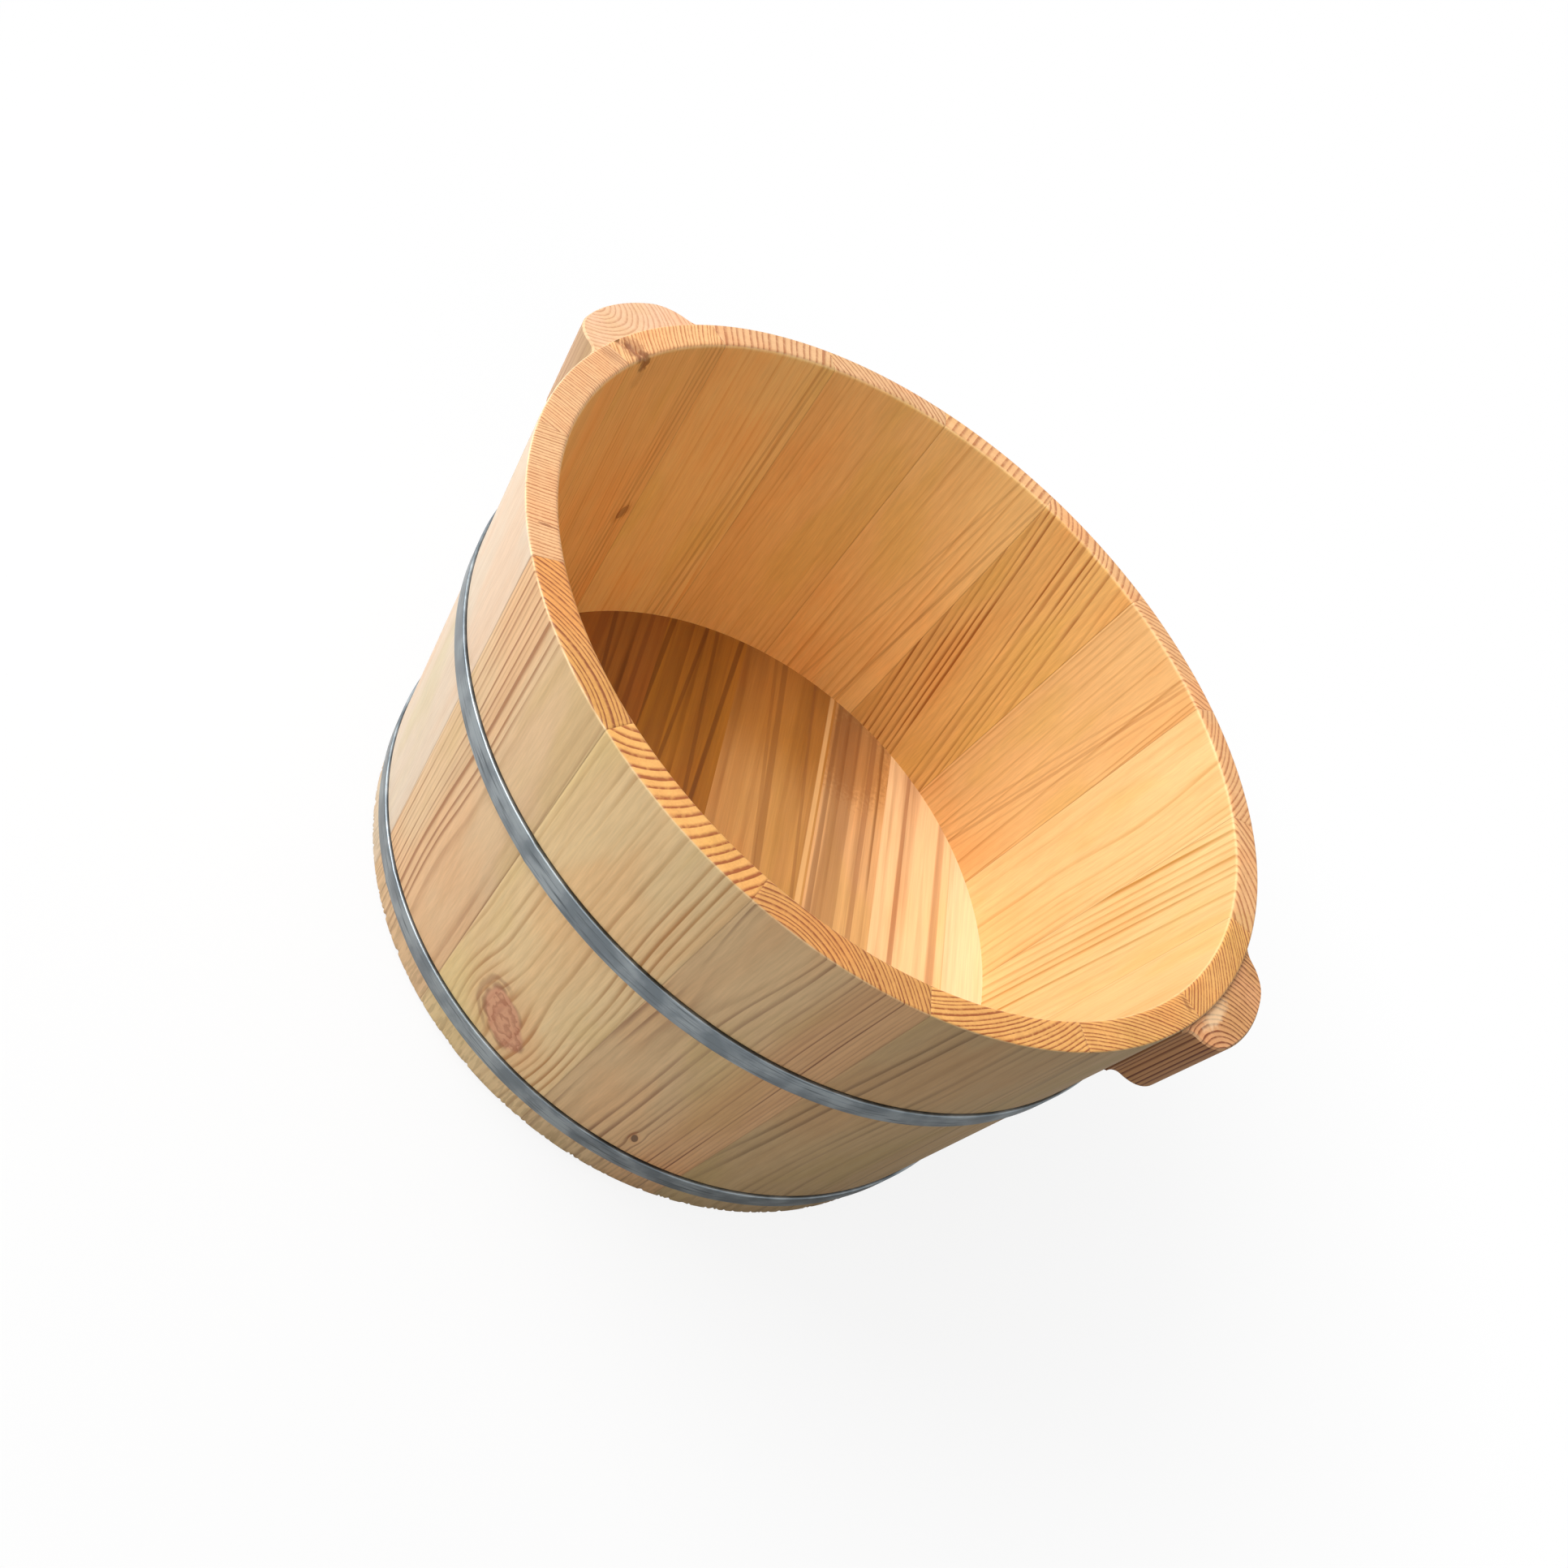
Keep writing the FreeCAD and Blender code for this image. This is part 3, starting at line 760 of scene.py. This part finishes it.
stave_materials = {}
for number, cut in stave_cuts.items():
    outwards, right, ring_width, drift_out, drift_right, outer, inner, rim, bold_out, bold_in = cut
    look = {
        "pith": (stave_middle + outwards * mm, right * mm),
        "drift": (wall_slope + drift_out, drift_right),
        "rings": ring_width * mm, "seed": 3.7 * number,
        "contrast": (bold_out, bold_in, 0.95), "heart": stave_painted_shade_tints.get(number),
        "outer": colour_pair(outer_woods[outer]), "inner": colour_pair(inner_woods[inner]),
        "end": colour_pair(rim_woods[rim]), "edge": srgb(240, 210, 164),
        "worn": 0.65 if number in worn_staves else 0.25, "foot": 0.6,
        "knot": 0.42 if number == 9 else 0.8,
        "streaks": [(*line, resin_line) for line in stave_streaks.get(number, ())],
        "quiet": [scaled(patch) for patch in stave_quiet.get(number, ())],
        "swells": [scaled(mound) for mound in stave_swells.get(number, ())],
    }
    stave_materials[number] = board_wood(
        f"pine stave {number:02d}", (number - 1) * stave_angle, look,
        knots=[scaled(knot) for knot in stave_knots.get(number, ())],
        stain_and_light_marks=scaled_stain_and_light_marks((*mark, rim_stain) for mark in stave_stains.get(number, ())),
        joints=stave_joint_lines)
print("stave materials", len(stave_materials))

# %% [markdown]
# ## Stave meshes
# The CAD staves have flat bevels at the rim. On the real tub a rounding plane and sandpaper
# left soft corners, which catch the light as a thin pale line. So each stave gets a mesh of
# its own: one outline in radius and height, swept through 22.5 degrees. At the two joints the
# outline shrinks a little, and that leaves the fine V between neighbours.

# %% The wall's lines
wall_thickness = wall / math.cos(math.atan(wall_slope))
groove_depth, groove_height = 0.8 * mm, 11.9 * mm
hoop_lifts = {"lower": 15 * mm, "upper": 123.5 * mm}
floor_top, tongue_bottom, tongue_reach = 29 * mm, 21 * mm, 5 * mm


def outside(height):
    return base_radius + wall_slope * height


def inside_wall(height):
    return outside(height) - wall_thickness


def round_corner(corner, first, last, steps):
    """Points on a soft corner between two points, pulled towards the sharp corner."""
    points = []
    for step in range(steps + 1):
        t = step / steps
        a, b, c = (1 - t) ** 2, 2 * t * (1 - t), t * t
        points.append(tuple(a * f + b * k + c * l for f, k, l in zip(first, corner, last)))
    return points


print("outside radius at the upper hoop", round(outside(hoop_lifts["upper"]), 5))


# %% The outline of a stave
def stave_outline():
    """The section of the wall as (radius, height) points, from the base up the outside."""
    points = [(base_radius - 1.2 * mm, 0.0), (base_radius - 0.5 * mm, 0.5 * mm)]
    points += [(outside(h * mm), h * mm) for h in (1.2, 2.2, 3.4, 5.0, 9.0)]
    for lift in hoop_lifts.values():
        top = lift + groove_height
        points += [(outside(lift), lift), (outside(lift) - groove_depth, lift)]
        points += [(outside(top) - groove_depth, top), (outside(top), top)]
    outer_soft, inner_soft = 1.2 * mm, 2.0 * mm
    points += round_corner(
        (rim_radius, rim_height), (outside(rim_height - outer_soft), rim_height - outer_soft),
        (rim_radius - outer_soft, rim_height), 5)
    mouth = inside_wall(rim_height)
    flat_from, flat_to = rim_radius - outer_soft, mouth + inner_soft
    points += [(flat_from + (flat_to - flat_from) * k / 9, rim_height) for k in range(1, 9)]
    points += round_corner(
        (mouth, rim_height), (mouth + inner_soft, rim_height),
        (inside_wall(rim_height - inner_soft), rim_height - inner_soft), 6)
    # a few close points below the mouth let the gouge sink smoothly
    points += [(inside_wall(h * mm), h * mm) for h in (195, 191, 187, 182, 176)]
    groove = inside_wall(tongue_bottom) + tongue_reach
    points += [(inside_wall(floor_top), floor_top), (groove, floor_top)]
    points += [(groove, tongue_bottom), (inside_wall(tongue_bottom), tongue_bottom)]
    points += [(inside_wall(0.0), 0.0)]
    return points


def shrunk(points, amount):
    """The outline moved inwards by an amount, along the middle of each corner."""
    moved = []
    for i, here in enumerate(points):
        before, after = Vector(points[i - 1]), Vector(points[(i + 1) % len(points)])
        one, two = (Vector(here) - before).normalized(), (after - Vector(here)).normalized()
        inward = (Vector((-one.y, one.x)) + Vector((-two.y, two.x))).normalized()
        moved.append(tuple(Vector(here) + inward * amount))
    return moved


joint_v_depth, joint_v_width = 0.10 * mm, 0.14 * mm
outline = stave_outline()
narrow = shrunk(outline, joint_v_depth)
print("points of the outline", len(outline))

# %% [markdown]
# ## Rough places
# The saw left small chips along the foot of each stave. Beside the left handle a sliver of the
# rim has broken out. Both move the points of the outline: a dice for each column says how far,
# so that no two columns are alike.

# %% Chips and the gouge
chip_from, chip_size, chip_height = 0.72, 4.0 * mm, 4 * mm


def chipped(radius, height, dice):
    """Small chips along the rough sawn foot of a stave. Only few columns have one."""
    if height > 5.5 * mm or radius < base_radius - 3 * mm:
        return radius, height
    chip = max(0.0, dice - chip_from) * chip_size * max(0.0, 1 - height / chip_height)
    return radius - chip * 0.7, height + (chip if height < 0.1 * mm else chip * 0.4)


# the two ends of the gouge, outwards and right in its stave
gouge_stave = 9
gouge_outer, gouge_inner = Vector((178.2 * mm, 29.5 * mm)), Vector((166.2 * mm, 18.9 * mm))
gouge_depth_rim, gouge_depth_wall, gouge_fades_over = 1.5 * mm, 1.0 * mm, 13 * mm


def gouged(angle, radius, height, dice):
    """Sinks the rim and the top of the inner wall along the gouge."""
    here = Vector((radius * math.cos(angle), radius * math.sin(angle)))
    way = gouge_inner - gouge_outer
    t = max(0.0, min(1.0, (here - gouge_outer).dot(way) / way.length_squared))
    near = (here - gouge_outer - way * t).length / ((1.5 + 0.9 * dice) * mm)
    depth = max(0.0, 1.0 - near * near) * (0.6 + 0.4 * t) * (0.7 + 0.6 * dice)
    if height > rim_height - 1.5 * mm:
        return radius, height - depth * gouge_depth_rim
    fading = max(0.0, 1.0 - (rim_height - height) / gouge_fades_over)
    return radius + depth * fading * gouge_depth_wall, height


print("length of the gouge", round((gouge_inner - gouge_outer).length, 4))


# %% From an outline to a mesh
def swept_mesh(name, rows, closed):
    """A smooth mesh over rows of points. A closed one joins its last row to its first."""
    bm = bmesh.new()
    loops = [[bm.verts.new(place) for place in row] for row in rows]
    pairs = zip(loops, loops[1:] + loops[:1]) if closed else zip(loops, loops[1:])
    for first, second in pairs:
        for i in range(len(first)):
            j = (i + 1) % len(first)
            bm.faces.new((first[i], second[i], second[j], first[j]))
    if not closed:
        bm.faces.new(loops[0])
        bm.faces.new(list(reversed(loops[-1])))
    bmesh.ops.recalc_face_normals(bm, faces=bm.faces)
    mesh = bpy.data.meshes.new(name)
    bm.to_mesh(mesh)
    bm.free()
    mesh.shade_smooth()
    return mesh


def turned(radius, angle, height):
    """A place on the tub from its radius, its angle and its height."""
    return (radius * math.cos(angle), radius * math.sin(angle), height)


def stave_mesh(number, columns=72):
    """The finished mesh of one stave."""
    rng = random.Random(number)
    half, lip = stave_angle / 2, joint_v_width / rim_radius
    angles = [-half, -half + lip] + [
        -half + lip + (2 * half - 2 * lip) * i / columns for i in range(1, columns)
    ] + [half - lip, half]
    turn = (number - 1) * stave_angle
    rows = []
    for i, angle in enumerate(angles):
        shape = narrow if i in (0, len(angles) - 1) else outline
        dice = rng.random()
        row = []
        for radius, height in shape:
            radius, height = chipped(radius, height, dice)
            if number == gouge_stave and height > 175 * mm and radius < 179.5 * mm:
                radius, height = gouged(angle, radius, height, dice)
            row.append(turned(radius, turn + angle, height))
        rows.append(row)
    mesh = swept_mesh(f"stave_board_{number:02d}", rows, closed=False)
    mesh.set_sharp_from_angle(angle=math.radians(38))
    return mesh


# %% Show the staves
def show_piece(name, mesh, material, nodes):
    """Puts a mesh on the tub in place of its CAD nodes."""
    piece = bpy.data.objects.new(name, mesh)
    bpy.context.scene.collection.objects.link(piece)
    mesh.materials.append(material)
    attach(piece, "root")
    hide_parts(*nodes)
    return piece


for number, material in stave_materials.items():
    name = f"stave_board_{number:02d}"
    mesh = stave_mesh(number)
    show_piece(name, mesh, material, [f"stave_{number:02d}"])
print("faces of one stave", len(mesh.polygons))

# %% [markdown]
# ## The floor
# The floor is seven boards glued edge to edge and turned to a disc. They come from the heart
# side of the tree, so they are browner than the wall, with pink and dark streaks. The CAD
# boards have the right shape, so they keep it and only get a finish.

# %% Floor boards
floor_turn = math.radians(120.5)
# pith up and across, ring width (mm), drift, pale and dark wood, contrast
floor_cuts = {
    1: (-60, -330, 7.0, 0.00, ((240, 208, 166), (206, 156, 106)), 0.40),
    2: (-50, -300, 8.0, 0.01, ((236, 196, 148), (158, 104, 62)), 0.70),
    3: (-30, 120, 6.0, 0.00, ((216, 170, 120), (134, 90, 50)), 0.50),
    4: (-40, 210, 11.0, 0.01, ((197, 147, 88), (140, 91, 47)), 0.50),
    5: (-40, 260, 8.0, 0.00, ((168, 110, 40), (108, 60, 18)), 0.5),
    6: (-60, 300, 6.4, 0.01, ((152, 96, 40), (98, 52, 18)), 0.5),
    7: (-50, 320, 6.0, 0.00, ((146, 90, 36), (94, 50, 18)), 0.5),
}
# across at the board's middle (mm), lean, half width (mm), strength, colour
floor_streaks = {
    2: [(-96, 0.0, 2.0, 0.6, (150, 92, 54)), (-121, 0.0, 3.0, 0.45, (160, 104, 62))],
    3: [(-53, 0.0, 9.0, 0.5, (138, 94, 58)), (-45, 0.0, 2.5, 0.5, (112, 72, 40)),
        (-70, 0.0, 2.0, 0.45, (128, 78, 50))],
    4: [(-13.3, 0.051, 2.6, 0.5, (128, 80, 38)), (-11.2, 0.075, 1.4, 0.35, (128, 80, 38)),
        (-34.7, 0.055, 1.2, 0.4, (128, 80, 44)), (-38.5, 0.0, 2.0, 0.6, (236, 194, 136)),
        (8, 0.0, 6.0, 0.2, (150, 96, 46))],
    5: [(30.5, -0.046, 1.8, 0.6, (92, 46, 18)), (32.0, 0.045, 1.5, 0.45, (96, 50, 20)),
        (53.2, -0.055, 1.4, 0.5, (92, 46, 18)), (57, 0.0, 5.0, 0.25, (104, 56, 24)),
        (69.8, -0.039, 2.0, 0.6, (88, 44, 16))],
    6: [(76, 0.0, 2.0, 0.4, (100, 48, 20)), (86.9, 0.07, 1.5, 0.55, (92, 46, 18)),
        (100, 0.0, 4.0, 0.3, (100, 48, 22))],
}
# a painted shade on board 3 near the far wall: depth, across and along, its reach, strength, colour
floor_painted_wall_shade = {3: [((29, -58, 116), (6, 30, 42), 0.34, (136, 78, 36))]}
# painted shade: boards 3 and 4 are a little darker towards the far wall, in the same form as the
# staves' painted shade
floor_painted_shade_tints = {3: (2, 60, 110, (240, 234, 210)), 4: (2, 50, 106, (228, 211, 172))}
for number, (up, across, ring_width, drift, pair, contrast) in floor_cuts.items():
    look = {
        "pith": (floor_top + up * mm, across * mm), "drift": (0.0, drift), "drift_from": 0.0,
        "rings": ring_width * mm, "seed": 5.3 * number, "contrast": (contrast, contrast, contrast),
        "outer": colour_pair(pair), "gloss": 0.26, "wander": 4 * mm, "streak": 0.7, "sweep": 1.5,
        "streaks": floor_streaks.get(number, ()), "heart": floor_painted_shade_tints.get(number),
    }
    material = board_wood(f"floor board {number}", floor_turn, look, lying=True,
                          stain_and_light_marks=scaled_stain_and_light_marks(floor_painted_wall_shade.get(number, ())))
    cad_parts[f"floor_board_{number}"].data.materials[0] = material
print("floor boards", len(floor_cuts))

# %% [markdown]
# ## The handles
# Each ear handle is one solid block whose grain runs down the wall, so its top shows the
# growth rings and its side shows dark and pale stripes. The right handle is brown with bold
# rings, and has a painted highlight on its top beside the wall. The left one is pale and dull.

# %% Handle wood
# turn of the handle, pith outwards and right of its middle at the wall (mm), how bold its
# rings are, and its colours at the side and on the sawn top
handle_cuts = {
    1: (-2.7, 24, -30, 0.9, ((188, 136, 90), (94, 44, 18)), ((216, 158, 108), (124, 66, 34))),
    2: (182.1, 23, 12, 0.4, ((199, 164, 130), (152, 106, 76)), ((212, 171, 138), (184, 136, 102))),
}
# painted highlight on the right handle's top beside the wall: outwards, right and up, how far
# it reaches each way (mm), strength, colour
handle_painted_highlights = {1: [((182.5, -14, 198), (4.5, 16.0, 3.0), 0.28, (246, 218, 176)),
                     ((183.0, -15, 198), (3.0, 9.0, 3.0), 0.28, (246, 218, 176))]}
for number, (turn, outwards, right, bold, side_pair, end_pair) in handle_cuts.items():
    look = {
        "pith": (rim_radius + outwards * mm, right * mm), "drift": (wall_slope, 0.0),
        "rings": 2.4 * mm, "seed": 11.0 * number, "contrast": (0.95, 0.9, 0.9), "bold": bold,
        "outer": colour_pair(side_pair), "inner": colour_pair(side_pair), "gloss": 0.6,
        "end": colour_pair(end_pair), "edge": srgb(232, 194, 150), "wander": 3 * mm,
    }
    material = board_wood(f"handle block {number}", math.radians(turn), look,
                          stain_and_light_marks=scaled_stain_and_light_marks(handle_painted_highlights.get(number, ())))
    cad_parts[f"handle_{number}"].data.materials[0] = material
print("handles", len(handle_cuts))

# %% [markdown]
# ## Pins and dowels
# Bamboo pins join the staves and the floor boards, and dowels hold the handles. All are hidden
# in the wood, so one plain bamboo, pale with fine even lines, is enough for them.

# %% Bamboo
bamboo_sides = colour_pair(((222, 196, 140), (190, 158, 100)))
bamboo_look = {
    "pith": (0.4, 0.0), "drift": (0.0, 0.0), "rings": 0.6 * mm, "seed": 40.0,
    "outer": bamboo_sides, "inner": bamboo_sides, "contrast": (0.5, 0.5, 0.7),
    "end": colour_pair(((210, 180, 120), (170, 138, 84))), "edge": srgb(226, 200, 150),
}
bamboo = board_wood("bamboo pins", 0.0, bamboo_look)
for name in ("stave_pins", "floor_pins", "handle_dowels"):
    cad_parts[name].data.materials[0] = bamboo
print("bamboo nodes", len(bamboo.node_tree.nodes))

# %% [markdown]
# ## The hoops
# A hoop is a flat bar, bent and welded, then dipped in zinc. Its edges are a little round and
# its face shows the cloudy grey of galvanised steel, with fine scratches along the bar.

# %% Galvanised steel
steel = bpy.data.materials.new("galvanised hoop steel")
steel.use_nodes = True
tree = steel.node_tree
shader = tree.nodes["Principled BSDF"]
point = tree.nodes.new("ShaderNodeTexCoord").outputs["Object"]
cloud = grit(tree, point, 70.0, 4.0)
scratch = grit(tree, point, 900.0, 2.0, (0.06, 0.06, 1.0))
zinc = blend(tree, ramp(tree, cloud, 0.35, 0.65), srgb(114, 123, 129), srgb(152, 160, 164))
dull = blend(tree, ramp(tree, scratch, 0.5, 0.75), zinc, srgb(92, 100, 106))
feed(tree, dull, shader.inputs["Base Color"])
feed(tree, calc(tree, "MULTIPLY_ADD", cloud, 0.3, 0.26), shader.inputs["Roughness"])
shader.inputs["Metallic"].default_value = 1.0
bumped(tree, shader, calc(tree, "MULTIPLY_ADD", cloud, 2.0, scratch), 0.4, 0.08 * mm)
print("steel nodes", len(tree.nodes))

# %% Hoop meshes
# the bar lies in its groove, 0.1 mm off the bottom; the weld spans 0.75 degrees each way
hoop_width, hoop_thickness, hoop_seat, hoop_soft = 11 * mm, 2 * mm, -0.7 * mm, 0.7 * mm
weld_angles = {"lower": 242.3, "upper": 260.3}
weld_half, weld_rise = 0.75, 0.3 * mm


def hoop_section(lift):
    """The bar's section at the wall as (radius, height) points, with soft corners."""
    corners = []
    for height, out in ((lift, 0.0), (lift, hoop_thickness),
                        (lift + hoop_width, hoop_thickness), (lift + hoop_width, 0.0)):
        corners.append((outside(height) + hoop_seat + out, height))
    section = []
    for i, corner in enumerate(corners):
        here = Vector(corner)
        before = (Vector(corners[i - 1]) - here).normalized() * hoop_soft
        after = (Vector(corners[(i + 1) % 4]) - here).normalized() * hoop_soft
        section += round_corner(corner, tuple(here + before), tuple(here + after), 4)
    return section


def hoop_mesh(place, steps=360):
    """A flat bar with rounded edges, bent round the wall, with its weld bead."""
    section, rows = hoop_section(hoop_lifts[place]), []
    for step in range(steps):
        angle = 2 * math.pi * step / steps
        off_weld = abs(math.degrees(angle) - weld_angles[place]) / weld_half
        rise = max(0.0, 1 - off_weld ** 2) * weld_rise
        row = []
        for radius, height in section:
            outer_face = outside(height) + hoop_seat + 0.8 * hoop_thickness
            out = rise if radius > outer_face else 0.0
            row.append(turned(radius + out, angle, height))
        rows.append(row)
    return swept_mesh(f"{place}_hoop_bar", rows, closed=True)


for place in weld_angles:
    mesh = hoop_mesh(place)
    show_piece(f"{place}_hoop_bar", mesh, steel, [f"{place}_hoop"])
print("hoop faces", len(mesh.polygons))

# %% [markdown]
# ## The studio
# The ground is a matt surface that also glows for the camera: fully at some distance, and less
# near the tub, so that the tub's shadow stays. The surround is white where the camera or a
# reflection sees it, and dim as a source of light, so that the lamps decide the shading.

# %% Ground
ground_half, ground_drop = 9.0, 0.2 * mm
shadow_end, glow_full, glow_near = 0.24, 0.65, 0.88
floor_mesh = bpy.data.meshes.new("studio_floor")
bm = bmesh.new()
bmesh.ops.create_grid(bm, x_segments=8, y_segments=8, size=ground_half)
bm.to_mesh(floor_mesh)
bm.free()
studio_floor = bpy.data.objects.new("studio_floor", floor_mesh)
studio_floor.location.z = -ground_drop
bpy.context.scene.collection.objects.link(studio_floor)
paper = bpy.data.materials.new("studio paper")
paper.use_nodes = True
tree = paper.node_tree
matt = tree.nodes["Principled BSDF"]
matt.inputs["Base Color"].default_value = (0.66, 0.66, 0.66, 1.0)
matt.inputs["Roughness"].default_value = 0.9
glow = tree.nodes.new("ShaderNodeEmission")
glow.inputs["Strength"].default_value = 1.0
path = tree.nodes.new("ShaderNodeLightPath")
mixer = tree.nodes.new("ShaderNodeMixShader")
point = tree.nodes.new("ShaderNodeTexCoord").outputs["Object"]
from_middle = vector_number(tree, "LENGTH", point)
whiter = ramp(tree, from_middle, shadow_end, glow_full, glow_near, 1.0)
feed(tree, calc(tree, "MULTIPLY", path.outputs["Is Camera Ray"], whiter), mixer.inputs[0])
feed(tree, matt.outputs[0], mixer.inputs[1])
feed(tree, glow.outputs[0], mixer.inputs[2])
feed(tree, mixer.outputs[0], tree.nodes["Material Output"].inputs["Surface"])
floor_mesh.materials.append(paper)
print("ground width", 2 * ground_half)

# %% White surround
world = bpy.data.worlds.new("white surround")
bpy.context.scene.world = world
world.use_nodes = True
tree = world.node_tree
sky = tree.nodes["Background"]
sky.inputs["Color"].default_value = (1.0, 1.0, 1.0, 1.0)
path = tree.nodes.new("ShaderNodeLightPath")
seen = largest(tree, *[path.outputs[f"Is {kind} Ray"] for kind in ("Camera", "Glossy", "Transmission")])
feed(tree, ramp(tree, seen, 0.0, 1.0, 0.25, 1.0), sky.inputs["Strength"])
bpy.context.scene.view_settings.view_transform = "Standard"
print("view transform", bpy.context.scene.view_settings.view_transform)

# %% [markdown]
# ## The lamps
# Three large soft boxes look at the middle of the tub. The main one stands to the left and a
# little in front: the near wall is pale on its left and falls into shade on its right. A weak
# one fills the front, and one overhead brings out the floor inside. Their angles are counted
# from the right, +X, towards the back, +Y.


# %% Lamps
def soft_lamp(name, azimuth, elevation, distance, size, power):
    """A square soft box that looks at the middle of the tub."""
    data = bpy.data.lights.new(name, "AREA")
    data.size = size
    data.energy = power
    lamp = bpy.data.objects.new(name, data)
    a, e = math.radians(azimuth), math.radians(elevation)
    way = Vector((math.cos(a) * math.cos(e), math.sin(a) * math.cos(e), math.sin(e)))
    lamp.location = Vector((0, 0, rim_height / 2)) + way * distance
    lamp.rotation_mode = "QUATERNION"
    lamp.rotation_quaternion = (-way).to_track_quat("-Z", "Y")
    bpy.context.scene.collection.objects.link(lamp)
    print(name, [round(v, 3) for v in lamp.location])


soft_lamp("main_soft_box", azimuth=194, elevation=46, distance=1.6, size=0.9, power=25.5)
soft_lamp("front_soft_box", azimuth=244, elevation=22, distance=2.0, size=1.2, power=8)
soft_lamp("top_soft_box", azimuth=200, elevation=80, distance=1.8, size=1.2, power=12.5)
